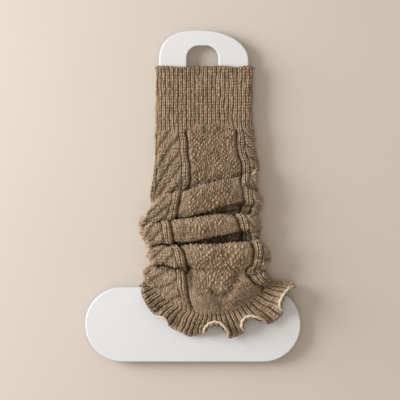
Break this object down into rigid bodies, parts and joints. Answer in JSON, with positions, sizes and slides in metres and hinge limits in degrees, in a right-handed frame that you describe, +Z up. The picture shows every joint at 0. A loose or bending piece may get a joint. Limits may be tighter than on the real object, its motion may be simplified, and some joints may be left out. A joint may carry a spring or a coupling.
{
  "type": "knitted boot cuff on a flat display board",
  "caption": "Knitted wool boot cuff with a ribbed top, cabled leg pushed down into rolls and a curled frill, pulled over a flat foot-shaped display board that lies on a surface.",
  "frame": {"origin": "under the middle of the whole object, on the surface that it lies on", "axes": "+X across the cuff, +Y along the leg from the frill towards the board's hanging hole, +Z up from the surface, out of the cuff's front"},
  "size_m": [0.24, 0.3692, 0.0289],
  "materials": {
    "taupe_wool": "soft heathered taupe wool, knitted, with a light fuzz",
    "cream_wool": "pale cream wool, cast-off edge",
    "white_board": "satin white foamed plastic sheet with rounded edges"
  },
  "bodies": {
    "root": {"display_board": "white_board", "rib_band": "taupe_wool", "leg_tube": "taupe_wool", "frill": "taupe_wool", "frill_edge": "cream_wool"}
  },
  "joints": []
}
